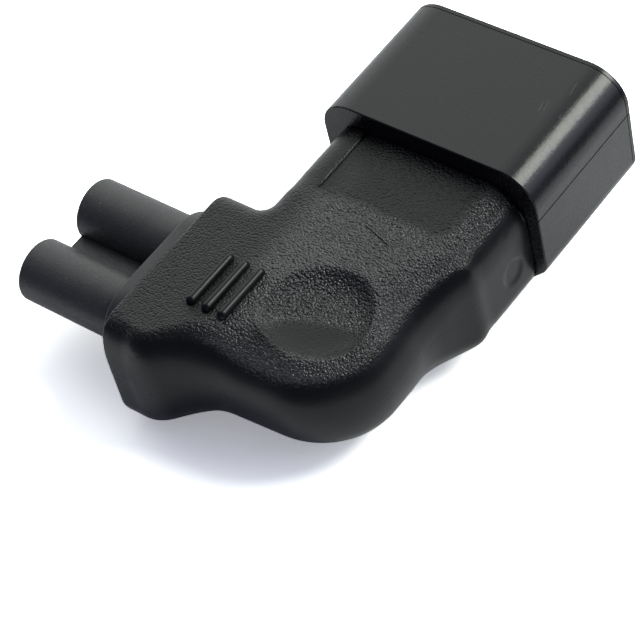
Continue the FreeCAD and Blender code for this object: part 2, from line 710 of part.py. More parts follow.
for item in doc.Objects:
    if "Invalid" in item.State or "Error" in item.State:
        raise RuntimeError(f"{item.Name} is {item.State}")

pieces = [overmould, housing, insert, line_blade, neutral_blade, earth_blade, line_sleeve, neutral_sleeve,
          line_core, neutral_core, line_jacket, neutral_jacket]
os.makedirs("parts", exist_ok=True)
for piece in pieces:
    if piece.Shape.isNull() or not piece.Shape.isValid() or len(piece.Shape.Solids) != 1:
        raise RuntimeError(f"{piece.Label} is not one sound solid")
    piece.Shape.exportStep(f"parts/{piece.Label}.step")
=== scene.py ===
"""Looks of a right-angle power adapter: a grained soft elbow between a smooth inlet and two barrels."""

import math

import bmesh
import bpy
import numpy as np
from mathutils import Matrix, Vector, kdtree


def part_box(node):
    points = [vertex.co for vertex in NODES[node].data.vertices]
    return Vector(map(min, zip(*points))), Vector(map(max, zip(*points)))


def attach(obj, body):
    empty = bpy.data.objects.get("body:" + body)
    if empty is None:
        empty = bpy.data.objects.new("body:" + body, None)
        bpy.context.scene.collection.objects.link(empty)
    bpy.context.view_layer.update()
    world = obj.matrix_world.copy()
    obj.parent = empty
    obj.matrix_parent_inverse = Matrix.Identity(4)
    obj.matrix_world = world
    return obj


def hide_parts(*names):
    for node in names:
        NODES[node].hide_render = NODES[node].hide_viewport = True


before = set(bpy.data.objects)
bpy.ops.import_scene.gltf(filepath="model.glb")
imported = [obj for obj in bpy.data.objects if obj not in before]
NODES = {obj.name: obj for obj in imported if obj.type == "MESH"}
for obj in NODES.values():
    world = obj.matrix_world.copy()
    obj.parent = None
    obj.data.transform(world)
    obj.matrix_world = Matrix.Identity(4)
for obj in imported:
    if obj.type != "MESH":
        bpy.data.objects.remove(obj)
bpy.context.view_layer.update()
MM = 0.001

# Camera
EYE = Vector((131.4825, -143.0653, 210.7069)) * MM
AZIMUTH = math.radians(48.790)
ELEVATION = math.radians(48.549)
ROLL = math.radians(15.744)
FOCAL_PX = 2642.782
IMAGE_WIDTH_PX = 640
SENSOR_MM = 36.0
CLIP_START = 10 * MM

# White sheet that the shroud's back edge and the elbow's underside rest on: the colour that lights
# the object, the one that gloss mirrors, and the one that the camera sees, with some light of its own
FLOOR_SLOPE = 0.0655
FLOOR_LOW = Vector((-600.0, -74.0)) * MM
FLOOR_HIGH = Vector((54.0, 600.0)) * MM
FLOOR_COLOUR = (0.8, 0.8, 0.8)
FLOOR_MIRRORED = (1.12, 1.12, 1.14)
FLOOR_SEEN = (2.3, 2.28, 2.2)
FLOOR_LIFT = 0.26

# Key lamp behind the object on its right
LAMP_DIRECTION = Vector((0.48, 0.53, 0.69))
LAMP_DISTANCE = 0.6
LAMP_RADIUS = 0.15
LAMP_RADIANCE = 11.5
LAMP_COLOUR = (0.96, 1.0, 0.91)

# Surroundings: a broad pale glow behind the object on its left, a bluish skirt round the lamp,
# dim and bluish elsewhere, and white to the camera
GLOW_DIRECTION = Vector((-0.55, 0.68, 0.48))
GLOW_EDGE = 0.5
GLOW = (1.48, 1.54, 1.52)
SKIRT_DIRECTION = Vector((0.74, 0.5, 0.45))
SKIRT_EDGE = 0.88
SKIRT = (1.45, 1.55, 1.85)
SURROUND = (0.14, 0.15, 0.21)
BACKDROP = (1.0, 1.0, 1.0)

# Elbow skin: a voxel copy of the CAD moulding, with the openings round the held pieces plugged
ELBOW_LOW, ELBOW_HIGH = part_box("overmould_body")
END_FACE_X = ELBOW_LOW.x
NECK_END_Y = ELBOW_HIGH.y
MID_HEIGHT = (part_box("c14_housing")[0].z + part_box("c14_housing")[1].z) / 2
BARREL_AXIS_Y = (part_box("c7_insert")[0].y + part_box("c7_insert")[1].y) / 2
ELBOW_HALF_HEIGHT = 7.25 * MM
VOXEL = 0.21 * MM
MERGE_DISTANCE = 1e-7
PLUG_DEPTH = 2.5 * MM
NECK_PLUG_HALF = (9.5 * MM, 5.5 * MM)
BARREL_PLUG_HALF = (7.0 * MM, 4.0 * MM)
HELD_EDGE = 0.5 * MM
FACING = 0.3

# Smoothing: weight of one round, weight of the round that undoes its shrinking, and rounds
SMOOTH = 0.5
UNSHRINK = -0.52
SKIN_ROUNDS = 5
RIM_ROUNDS = 3
STEP_ROUNDS = 60
LAST_ROUNDS = 2

# Grip ribs, from the crossing of the two connector axes
RIB_FIRST = -9.5 * MM
RIB_PITCH = 2.0 * MM
RIB_COUNT = 3
RIB_NEAR = -5.05 * MM
RIB_FAR = 2.25 * MM
RIB_HALF_WIDTH = 0.55 * MM
RIB_HEIGHT = 0.75 * MM
RIB_SUNK = 0.3 * MM
RIB_FULLNESS = 2.1
RIB_NEAR_SCALE = 1.08
RIB_SCALE_LOSS = 0.22
RIB_STEPS = 44
RIB_SIDES = 20

# Thumb dish, from the same crossing: deeper towards its far rim, and falling to its right half
DISH_CENTRE = Vector((2.8, 0.2)) * MM
DISH_RADIUS = 6.1 * MM
DISH_DEPTH = 1.5 * MM
DISH_FLATNESS = 4.6
DISH_SKEW = Vector((0.0, 0.3))
DISH_FALL = Vector((0.97, -0.22))
DISH_TILT = 0.12
DISH_SOFTNESS = 3.0 * MM
RIM_BAND = (0.6 * MM, 2.4 * MM)

# Neck panel and the step up to it, from the same crossing
PANEL_LEFT = -7.5 * MM
PANEL_NEAR = 14.0 * MM
PANEL_RAMP = (-7.0 * MM, -3.0 * MM)
PANEL_DEPTH = 0.24 * MM
PANEL_EDGE = 0.6 * MM
NECK_LEVEL = 7.15 * MM
NECK_SKIN = 0.6 * MM
CLEARED_LEFT = 0.9 * MM
CLEARED_NEAR = 0.3 * MM
CLEARED_BELOW = 0.5 * MM
STEP_BAND = (0.8 * MM, 1.8 * MM)
STEP_HEIGHT = (4.0 * MM, 6.0 * MM)
STEP_RIGHT = (4.0 * MM, 8.0 * MM)

# Upper outer edge, from the same crossing: its round grows from the lobe to the corner and shrinks
# to the neck, and the walls under it swell at mid height
LOBE_EDGE_ROUND = 2.6 * MM
CORNER_EDGE_ROUND = 6.5 * MM
NECK_EDGE_ROUND = 3.9 * MM
NECK_EDGE_DROP = 5.3 * MM
ROUND_GROWS = (-10.0 * MM, 0.0 * MM)
ROUND_SHRINKS = (4.0 * MM, 13.6 * MM)
WALL_SWELL = 1.1 * MM
SWELL_DEPTH = 5.0 * MM
SWELL_GROWS = (-14.0 * MM, -8.5 * MM)
SWELL_FADES = (1.5 * MM, 13.0 * MM)
FILLED_FROM_END = (END_FACE_X + 0.6 * MM, END_FACE_X + 2.6 * MM)
FILLED_TO_STEP = (9.0 * MM, 13.2 * MM)
FILLED_INWARD = 7.5 * MM
FILLED_ABOVE = 3.0 * MM
LEAST_REACH = 0.3
OUTLINE_BAND = 0.3 * MM
CLEAR_OF_MARK = 3.0 * MM

# Where the elbow is grained, from the same crossing: on faces that look up or down, less at the
# barrels' end, on the panel and in a smooth patch of the dish
GRAIN_FACING = (0.45, 0.72)
END_GRAIN = 0.5
END_GRAIN_RISES = (-9.0 * MM, -3.0 * MM)
PANEL_GRAIN_LOSS = 0.65
PANEL_GRAIN_FADES = (12.6 * MM, 15.4 * MM)
PANEL_GRAIN_RIGHT = (6.5 * MM, 10.5 * MM)
PATCH_CENTRE = Vector((3.3, -1.9)) * MM
PATCH_RUN = Vector((0.93, 0.38))
PATCH_HALF = (5.2 * MM, 2.1 * MM)
PATCH_GRAIN_LOSS = 0.85
PATCH_BAND = (0.4, 1.6)
PATCH_LEVEL = (3.0 * MM, 4.0 * MM)

# Noise: octaves of detail, and the range that most of its values are in
LITTLE_DETAIL = 1.0
SOME_DETAIL = 2.0
MUCH_DETAIL = 3.0
MIDDLE = (0.3, 0.7)

# Soft plastic, relief: warped cells of grain with crumbs, a matt skin and the parting line; then a
# scratch and a painted shade line along the panel's step, between plan places in the shared frame
GRAIN_CELL = 0.25 * MM
GRAIN_DEPTH = 0.2 * MM
WARP_SIZE = 0.7 * MM
WARP_REACH = 0.22 * MM
CRUMB_SIZE = 0.2 * MM
CRUMB_SHARE = 0.45
MATT_SIZE = 0.05 * MM
MATT_DEPTH = 0.03 * MM
MATT_STRENGTH = 0.12
PARTING_HALF_WIDTH = 0.1 * MM
PARTING_DEPTH = 0.05 * MM
PARTING_STRENGTH = 0.2
DOME_SCRATCH = ((-0.05 * MM, -19.2 * MM), (4.0 * MM, -20.4 * MM))
DOME_SCRATCH_HALF_WIDTH = 0.14 * MM
# Painted shade: a dark line without sheen along the left edge of the sunk neck panel, where its step lies
# in shade
PANEL_STEP_SHADE = ((-7.4 * MM, -17.4 * MM), (-7.4 * MM, -6.0 * MM))
PANEL_STEP_SHADE_HALF_WIDTH = 0.2 * MM
PANEL_STEP_SHADE_LEVEL = 15.0 * MM
LINE_FADE = 0.3 * MM

# Soft plastic, colour and gloss. The first three are the even values under the shader's maps. Each
# BY is the range of one value and, where that isn't 0 to 1, the range that it is carried to
SOFT_COLOUR = (0.004, 0.004, 0.004)
SOFT_ROUGHNESS = 0.34
SOFT_SHEEN = 0.36
SMOOTH_COLOUR = (0.0035, 0.0035, 0.0037)
PIT_COLOUR = (0.006, 0.006, 0.006)
# The pale colour below is a painted highlight: flecks of it on the pebble tops stand in for the grain's
# sparkles of light
PAINTED_GLINT_COLOUR = (0.12, 0.117, 0.11)
SCRATCH_COLOUR = (0.002, 0.002, 0.002)
# Painted shade: the near-black colour below darkens the line along the panel's step
STEP_SHADE_COLOUR = (0.001, 0.001, 0.001)
SOFT_CLOUD_SIZE = 3.0 * MM
# The glint noise and the cell range below place that painted highlight in flecks, strongest on the pebble
# tops
GLINT_SIZE = 0.12 * MM
GLINT_BY_NOISE = (0.42, 0.66)
GLINT_BY_CELL = (0.0, 0.8, 1.2, 0.5)
COLOUR_BY_GRAIN = (0.2, 1.0)
SHEEN_BY_GRAIN = (0.4, 1.0, 0.28, 0.72)
# The sheen goes from the scratch and from the painted shade line along the panel's step
SHEEN_BY_SCRATCH_AND_SHADE = (0.2, 0.8, 1.0, 0.0)
ROUGHNESS_BY_GRAIN = (0.0, 0.5, 0.30, 0.31)
ROUGHNESS_BY_CLOUD = (*MIDDLE, -0.03, 0.03)

# Shroud plastic: drawn streaks, a mottle, flecks, and scratches on its top
BLOCK_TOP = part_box("c14_housing")[1].z
BLOCK_SCRATCHES = (((8.45 * MM, 0.05 * MM), (8.1 * MM, 1.65 * MM)),
                   ((8.85 * MM, 0.3 * MM), (8.6 * MM, 1.95 * MM)),
                   ((10.75 * MM, 0.3 * MM), (10.55 * MM, 1.15 * MM)),
                   ((10.0 * MM, 3.4 * MM), (9.7 * MM, 5.4 * MM)))
BLOCK_SCRATCH_HALF_WIDTH = 0.07 * MM
BLOCK_SCRATCH_BAND = (BLOCK_TOP - 0.5 * MM, BLOCK_TOP - 0.1 * MM)
SHROUD_COLOUR = (0.006, 0.006, 0.0065)
SHROUD_ROUGHNESS = 0.27
SHROUD_SHEEN = 0.39
SHROUD_DARK = (0.005, 0.005, 0.006)
SHROUD_LIGHT = (0.008, 0.008, 0.0085)
SHROUD_WORN = (0.06, 0.06, 0.06)
STREAK_STRETCH = (1.0, 0.05, 1.0)
STREAK_SIZE = 0.2 * MM
STREAK_SHARE = 0.6
MOTTLE_SIZE = 0.35 * MM
SHROUD_CLOUD_SIZE = 4.0 * MM
SHROUD_RELIEF = 0.02 * MM
SHROUD_RELIEF_STRENGTH = 0.5
FLECK_SIZE = 0.3 * MM
FLECK_BY_NOISE = (0.74, 0.8, 0.0, 0.5)
SHROUD_ROUGHNESS_BY_CLOUD = (*MIDDLE, 0.25, 0.29)
SHROUD_ROUGHNESS_BY_MOTTLE = (*MIDDLE, -0.02, 0.02)

# Insert plastic: a dusty skin with pale specks
INSERT_COLOUR = (0.03, 0.03, 0.03)
INSERT_ROUGHNESS = 0.44
INSERT_SHEEN = 0.4
INSERT_DARK = (0.034, 0.034, 0.036)
INSERT_LIGHT = (0.055, 0.055, 0.055)
INSERT_SKIN_SIZE = 0.25 * MM
INSERT_SKIN_DEPTH = 0.03 * MM
SPECK_COLOUR = (0.16, 0.16, 0.16)
SPECK_SIZE = 0.28 * MM
SPECK_BY_NOISE = (0.7, 0.76, 0.0, 0.6)
INSERT_ROUGHNESS_BY_SKIN = (*MIDDLE, 0.38, 0.5)

# Wire insulation and metals: sizes of their noise and how far it varies the gloss, then each one's
# dark and light colours, and for a metal its roughness and the stretch of its lines
PLASTIC_CLOUD_SIZE = 2.0 * MM
JACKET_ROUGHNESS = 0.42
JACKET_VARIES = 0.05
JACKET_SKIN_SIZE = 0.15 * MM
JACKET_SKIN_DEPTH = 0.01 * MM
METAL_LINE_SIZE = 0.12 * MM
METAL_LINE_DEPTH = 0.01 * MM
METAL_LINE_STRENGTH = 0.4
METAL_CLOUD_SIZE = 1.5 * MM
METAL_VARIES = 0.06
BROWN = ((0.18, 0.08, 0.035), (0.25, 0.12, 0.06))
BLUE = ((0.05, 0.14, 0.38), (0.08, 0.2, 0.5))
NICKEL = ((0.5, 0.48, 0.44), (0.72, 0.7, 0.66), 0.28, (1.0, 0.06, 1.0))
BRASS = ((0.55, 0.4, 0.17), (0.76, 0.6, 0.32), 0.32, (0.06, 1.0, 1.0))
COPPER = ((0.55, 0.26, 0.14), (0.8, 0.45, 0.28), 0.3, (0.1, 0.1, 1.0))


def add_camera():
    data = bpy.data.cameras.new("camera")
    data.sensor_fit = "HORIZONTAL"
    data.sensor_width = SENSOR_MM
    data.lens = FOCAL_PX / IMAGE_WIDTH_PX * SENSOR_MM
    data.clip_start = CLIP_START
    level = math.cos(ELEVATION)
    back = Vector((math.sin(AZIMUTH) * level, -math.cos(AZIMUTH) * level, math.sin(ELEVATION)))
    right = (-back).cross(Vector((0, 0, 1))).normalized()
    down = (-back).cross(right)
    across = math.cos(ROLL) * right + math.sin(ROLL) * down
    upward = math.sin(ROLL) * right - math.cos(ROLL) * down
    camera = bpy.data.objects.new("camera", data)
    axes = Matrix((across, upward, back)).transposed().to_4x4()
    camera.matrix_world = Matrix.Translation(EYE) @ axes
    bpy.context.scene.collection.objects.link(camera)
    bpy.context.scene.camera = camera


def add_lamp():
    data = bpy.data.lights.new("soft_lamp", "AREA")
    data.shape = "DISK"
    data.size = 2 * LAMP_RADIUS
    area = math.pi * LAMP_RADIUS ** 2
    data.energy = LAMP_RADIANCE * math.pi * area
    data.color = LAMP_COLOUR
    lamp = bpy.data.objects.new("soft_lamp", data)
    toward = LAMP_DIRECTION.normalized()
    turn = toward.to_track_quat("Z", "Y").to_matrix().to_4x4()
    lamp.matrix_world = Matrix.Translation(toward * LAMP_DISTANCE) @ turn
    bpy.context.scene.collection.objects.link(lamp)


def add(tree, kind, settings=None, sockets=None):
    """A shader node with its settings, and each socket set to a value or joined to an output."""
    node = tree.nodes.new("ShaderNode" + kind)
    for name, value in (settings or {}).items():
        setattr(node, name, value)
    for name, value in (sockets or {}).items():
        if isinstance(value, bpy.types.NodeSocket):
            tree.links.new(value, node.inputs[name])
        else:
            node.inputs[name].default_value = value
    return node


def wire(tree, node, sockets):
    """Join outputs to a node's sockets."""
    for name, output in sockets.items():
        tree.links.new(output, node.inputs[name])


def math_node(tree, operation, first, second=0.0):
    return add(tree, "Math", {"operation": operation}, {0: first, 1: second}).outputs["Value"]


def dot(tree, vector, axis):
    """Length of a vector along an axis."""
    return add(tree, "VectorMath", {"operation": "DOT_PRODUCT"}, {0: vector, 1: axis}).outputs["Value"]


def spread(tree, value, low, high, to_low=0.0, to_high=1.0):
    """A value carried smoothly from one range to another, clamped at its ends."""
    return add(tree, "MapRange", {"interpolation_type": "SMOOTHSTEP"},
               {"Value": value, "From Min": low, "From Max": high,
                "To Min": to_low, "To Max": to_high}).outputs["Result"]


def blended(tree, factor, first, second):
    """A colour between two colours, by a factor."""
    node = add(tree, "Mix", {"data_type": "RGBA"}, {"Factor": factor})
    for socket, colour in ((node.inputs[6], first), (node.inputs[7], second)):
        if isinstance(colour, bpy.types.NodeSocket):
            tree.links.new(colour, socket)
        else:
            socket.default_value = (*colour, 1)
    return node.outputs[2]


def noise(tree, place, size, detail):
    """Fractal noise between 0 and 1 with features of about one size."""
    sockets = {"Vector": place, "Scale": 1 / size, "Detail": detail}
    return add(tree, "TexNoise", None, sockets).outputs["Fac"]


def stretched(tree, place, scale):
    """Places scaled along each axis, so that noise is drawn out along the axes of small scale."""
    return add(tree, "Mapping", None, {"Vector": place, "Scale": scale}).outputs["Vector"]


def height_of(tree, place):
    return add(tree, "SeparateXYZ", None, {"Vector": place}).outputs["Z"]


def bumped(tree, height, strength, distance, normal=None, invert=False):
    """A normal tilted by a height, on top of another normal where one is given."""
    sockets = {"Strength": strength, "Distance": distance, "Height": height}
    if normal is not None:
        sockets["Normal"] = normal
    return add(tree, "Bump", {"invert": invert}, sockets).outputs["Normal"]


def add_world():
    world = bpy.data.worlds.new("studio")
    world.use_nodes = True
    tree = world.node_tree
    place = add(tree, "TexCoord").outputs["Generated"]
    light = SURROUND
    glows = ((GLOW_DIRECTION, GLOW_EDGE, GLOW), (SKIRT_DIRECTION, SKIRT_EDGE, SKIRT))
    for direction, edge, colour in glows:
        facing = dot(tree, place, direction.normalized())
        light = blended(tree, spread(tree, facing, edge, 1.0), light, colour)
    shown = blended(tree, add(tree, "LightPath").outputs["Is Camera Ray"], light, BACKDROP)
    wire(tree, tree.nodes["Background"], {"Color": shown})
    bpy.context.scene.world = world


def add_floor():
    mesh = bpy.data.meshes.new("floor")
    back_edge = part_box("c14_housing")[0].y
    plan = ((FLOOR_LOW.x, FLOOR_LOW.y), (FLOOR_HIGH.x, FLOOR_LOW.y),
            (FLOOR_HIGH.x, FLOOR_HIGH.y), (FLOOR_LOW.x, FLOOR_HIGH.y))
    mesh.from_pydata([(x, y, FLOOR_SLOPE * (back_edge - y)) for x, y in plan], [], [(0, 1, 2, 3)])
    floor = bpy.data.objects.new("floor", mesh)
    bpy.context.scene.collection.objects.link(floor)
    material = bpy.data.materials.new("white_floor")
    material.use_nodes = True
    tree = material.node_tree
    tree.nodes.remove(tree.nodes["Principled BSDF"])
    path = add(tree, "LightPath").outputs
    mirrored = math_node(tree, "MAXIMUM", path["Is Glossy Ray"], path["Is Transmission Ray"])
    colour = blended(tree, mirrored, FLOOR_COLOUR, FLOOR_MIRRORED)
    colour = blended(tree, path["Is Camera Ray"], colour, FLOOR_SEEN)
    sheet = add(tree, "BsdfDiffuse", None, {"Color": colour}).outputs["BSDF"]
    strength = spread(tree, path["Is Camera Ray"], 0.0, 1.0, 0.0, FLOOR_LIFT)
    lift = add(tree, "Emission", None, {"Strength": strength}).outputs["Emission"]
    shader = add(tree, "AddShader", None, {0: sheet, 1: lift}).outputs["Shader"]
    wire(tree, tree.nodes["Material Output"], {"Surface": shader})
    mesh.materials.append(material)


def add_block(builder, low, high):
    """One closed box between two corners."""
    made = bmesh.ops.create_cube(builder, size=1.0)
    middle = (Vector(low) + Vector(high)) / 2
    for vert in made["verts"]:
        vert.co = Vector(c * (h - l) for c, h, l in zip(vert.co, high, low)) + middle


def largest_island(builder):
    """Delete all but the largest connected part of a mesh."""
    left = set(builder.verts)
    islands = []
    while left:
        stack = [left.pop()]
        island = set(stack)
        while stack:
            for edge in stack.pop().link_edges:
                for vert in edge.verts:
                    if vert in left:
                        left.discard(vert)
                        island.add(vert)
                        stack.append(vert)
        islands.append(island)
    keep = max(islands, key=len)
    bmesh.ops.delete(builder, geom=[v for v in builder.verts if v not in keep], context="VERTS")


def to_smooth_mesh(builder, mesh):
    """Write a mesh with all its faces shaded smooth."""
    for face in builder.faces:
        face.smooth = True
    builder.to_mesh(mesh)
    builder.free()


def ramp(value, low, high):
    """Smooth step of an array from 0 at low to 1 at high."""
    t = np.clip((value - low) / (high - low), 0, 1)
    return t * t * (3 - 2 * t)


def within(distance, band):
    """Smooth step of an array from 1 at the first value of a band to 0 at its second."""
    full, none = band
    return ramp(-distance, -none, -full)


def smoothed(points, edges, weight, rounds):
    """Vertices moved towards the middle of their neighbours, by a weight each."""
    first, second = edges[:, 0], edges[:, 1]
    count = np.bincount(first, minlength=len(points)) + np.bincount(second, minlength=len(points))
    for _ in range(rounds):
        total = np.empty_like(points)
        for axis in range(3):
            total[:, axis] = (np.bincount(first, points[second, axis], len(points))
                              + np.bincount(second, points[first, axis], len(points)))
        points = points + weight[:, None] * (total / count[:, None] - points)
    return points


def from_crossing(points):
    """Plan places and height of vertices, measured from the crossing of the connector axes."""
    return points[:, 0], points[:, 1] - BARREL_AXIS_Y, points[:, 2] - MID_HEIGHT


def vertex_data(mesh):
    """Places and normals of a mesh's vertices."""
    points = np.empty(len(mesh.vertices) * 3)
    mesh.vertices.foreach_get("co", points)
    normals = np.empty(len(mesh.vertices) * 3)
    mesh.vertex_normals.foreach_get("vector", normals)
    return points.reshape(-1, 3), normals.reshape(-1, 3)


def nearest_on_walls(points, normals):
    """For each vertex, the nearest one in plan on the outline of the near and right walls."""
    x, y, z = from_crossing(points)
    near = (normals[:, 1] < -FACING) & (y < 0) & (points[:, 0] > END_FACE_X + HELD_EDGE)
    right = (normals[:, 0] > FACING) & (x > 0)
    level = np.where(y > ROUND_SHRINKS[1], -CLEAR_OF_MARK, 0)
    wall = (np.abs(z - level) < OUTLINE_BAND) & (near | right)
    places = np.flatnonzero(wall)
    outline = kdtree.KDTree(len(places))
    for number, place in enumerate(places):
        outline.insert((x[place], y[place], 0), number)
    outline.balance()
    return places[[outline.find((px, py, 0))[1] for px, py in zip(x, y)]]


def round_outer_edge(points, normals):
    """Swell the near and right walls at mid height, and give their upper edge a full, deep round."""
    x, y, z = from_crossing(points)
    nearest = nearest_on_walls(points, normals)
    across = normals[nearest, :2]
    across /= np.linalg.norm(across, axis=1)[:, None]
    inward = (x[nearest] - x) * across[:, 0] + (y[nearest] - y) * across[:, 1]
    toward_neck = ramp(y[nearest], *ROUND_SHRINKS)
    toward_corner = ramp(x[nearest], *ROUND_GROWS)
    fullness = LOBE_EDGE_ROUND + (CORNER_EDGE_ROUND - LOBE_EDGE_ROUND) * toward_corner
    fullness -= (CORNER_EDGE_ROUND - NECK_EDGE_ROUND) * toward_neck
    drop = ELBOW_HALF_HEIGHT + (NECK_EDGE_DROP - ELBOW_HALF_HEIGHT) * toward_neck
    swell = WALL_SWELL * ramp(x[nearest], *SWELL_GROWS) * (1 - ramp(y[nearest], *SWELL_FADES))
    fill = ramp(points[:, 0], *FILLED_FROM_END) * (1 - ramp(y, *FILLED_TO_STEP))

    aside, above = fullness - swell - inward, z - ELBOW_HALF_HEIGHT + drop
    reach = np.hypot(aside / fullness, above / drop)
    upper = (aside > 0) & (above > 0) & (z > 0)
    draw = np.where(upper, 1 - 1 / np.maximum(reach, LEAST_REACH), 0)
    draw = np.where(draw < 0, draw * fill, draw)
    points[:, :2] -= across * (aside * draw)[:, None]
    points[:, 2] -= above * draw
    top = (aside <= 0) & (inward < FILLED_INWARD) & (normals[:, 2] > FACING) & (z > FILLED_ABOVE)
    points[:, 2] += np.where(top, fill * (ELBOW_HALF_HEIGHT - z), 0)
    lower = (inward < FILLED_INWARD) & ((z <= 0) | ((above <= 0) & (inward < HELD_EDGE)))
    swollen = fill * swell * np.clip(1 - (np.minimum(z, 0) / SWELL_DEPTH) ** 2, 0, 1)
    points[:, :2] += across * np.where(lower, swollen, 0)[:, None]


def hollow_dish(points):
    """Press the thumb dish into the top, and give each vertex's closeness to its rim."""
    x, y, z = from_crossing(points)
    from_x, from_y = x - DISH_CENTRE.x, y - DISH_CENTRE.y
    off_dish = np.hypot(from_x, from_y)
    hollow = DISH_DEPTH * (1 - (off_dish / DISH_RADIUS) ** DISH_FLATNESS)
    hollow *= 1 + (from_x * DISH_SKEW.x + from_y * DISH_SKEW.y) / DISH_RADIUS
    fall = from_x * DISH_FALL.x + from_y * DISH_FALL.y
    lowered = DISH_TILT * (fall + np.hypot(fall, DISH_SOFTNESS) - DISH_SOFTNESS) / 2
    bowl = ELBOW_HALF_HEIGHT - hollow - lowered
    points[:, 2] -= np.where((off_dish < DISH_RADIUS) & (z > bowl), z - bowl, 0)
    return within(np.abs(off_dish - DISH_RADIUS), RIM_BAND)


def shape_elbow(mesh):
    """Take the ribs off the skin, round its outer edge, hollow the dish and sink the neck panel."""
    points, normals = vertex_data(mesh)
    edges = np.empty(len(mesh.edges) * 2, dtype=int)
    mesh.edges.foreach_get("vertices", edges)
    edges = edges.reshape(-1, 2)
    x, y, z = from_crossing(points)
    at_end_face = np.abs(points[:, 0] - END_FACE_X) < HELD_EDGE
    at_neck_end = np.abs(points[:, 1] - NECK_END_Y) < HELD_EDGE
    free = np.where(at_end_face | at_neck_end, 0.0, 1.0)
    points[:, 2] = MID_HEIGHT + np.clip(z, -ELBOW_HALF_HEIGHT, ELBOW_HALF_HEIGHT)
    flat = (z > NECK_LEVEL - CLEARED_BELOW) & (normals[:, 2] > FACING)
    flat &= (x > PANEL_LEFT - CLEARED_LEFT) & (y > PANEL_NEAR - CLEARED_NEAR)
    points[flat, 2] = MID_HEIGHT + np.maximum(z[flat], NECK_LEVEL)
    for _ in range(SKIN_ROUNDS):
        points = smoothed(points, edges, SMOOTH * free, 1)
        points = smoothed(points, edges, UNSHRINK * free, 1)
    round_outer_edge(points, normals)

    x, y, z = from_crossing(points)
    rim = hollow_dish(points)
    points = smoothed(points, edges, SMOOTH * free * rim, RIM_ROUNDS)
    step = within(np.abs(y - PANEL_NEAR), STEP_BAND)
    step *= np.maximum(ramp(np.abs(z), *STEP_HEIGHT), ramp(x, *STEP_RIGHT))
    points = smoothed(points, edges, SMOOTH * free * step, STEP_ROUNDS)
    points = smoothed(points, edges, SMOOTH * free, LAST_ROUNDS)

    x, y, z = from_crossing(points)
    sunk = (x > PANEL_LEFT) * (1 - ramp(x, *PANEL_RAMP))
    sunk *= ramp(y, PANEL_NEAR - PANEL_EDGE, PANEL_NEAR + PANEL_EDGE)
    points[:, 2] -= np.where(z > NECK_LEVEL - NECK_SKIN, PANEL_DEPTH * sunk, 0)
    mesh.vertices.foreach_set("co", points.ravel())
    mesh.update()


def mark_grain(mesh):
    """Strength of the leather grain at each vertex of the elbow."""
    points, normals = vertex_data(mesh)
    x, y, z = from_crossing(points)
    grain = ramp(np.abs(normals[:, 2]), *GRAIN_FACING)
    grain *= END_GRAIN + (1 - END_GRAIN) * ramp(x, *END_GRAIN_RISES)
    grain *= 1 - PANEL_GRAIN_LOSS * ramp(y, *PANEL_GRAIN_FADES) * within(x, PANEL_GRAIN_RIGHT)
    from_x, from_y = x - PATCH_CENTRE.x, y - PATCH_CENTRE.y
    along = (from_x * PATCH_RUN.x + from_y * PATCH_RUN.y) / PATCH_HALF[0]
    aside = (from_y * PATCH_RUN.x - from_x * PATCH_RUN.y) / PATCH_HALF[1]
    grain *= 1 - PATCH_GRAIN_LOSS * within(np.hypot(along, aside), PATCH_BAND) * ramp(z, *PATCH_LEVEL)
    mesh.attributes.new("grain", "FLOAT", "POINT").data.foreach_set("value", grain.astype(np.float32))


def build_elbow():
    """The moulding as one closed skin, with the openings round the held pieces plugged flush."""
    builder = bmesh.new()
    builder.from_mesh(NODES["overmould_body"].data)
    bmesh.ops.remove_doubles(builder, verts=builder.verts, dist=MERGE_DISTANCE)
    half_x, half_z = NECK_PLUG_HALF
    add_block(builder, (-half_x, NECK_END_Y - PLUG_DEPTH, MID_HEIGHT - half_z),
              (half_x, NECK_END_Y, MID_HEIGHT + half_z))
    half_y, half_z = BARREL_PLUG_HALF
    add_block(builder, (END_FACE_X, BARREL_AXIS_Y - half_y, MID_HEIGHT - half_z),
              (END_FACE_X + PLUG_DEPTH, BARREL_AXIS_Y + half_y, MID_HEIGHT + half_z))
    mesh = bpy.data.meshes.new("elbow_moulding")
    builder.to_mesh(mesh)
    builder.free()
    elbow = bpy.data.objects.new("elbow_moulding", mesh)
    bpy.context.scene.collection.objects.link(elbow)
    remesh = elbow.modifiers.new("skin", "REMESH")
    remesh.mode = "VOXEL"
    remesh.voxel_size = VOXEL
    graph = bpy.context.evaluated_depsgraph_get()
    skin = bpy.data.meshes.new_from_object(elbow.evaluated_get(graph))
    elbow.modifiers.clear()
    elbow.data = skin
    builder = bmesh.new()
    builder.from_mesh(skin)
    largest_island(builder)
    to_smooth_mesh(builder, skin)
    shape_elbow(skin)
    mark_grain(skin)
    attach(elbow, "root")
    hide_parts("overmould_body")
    return elbow


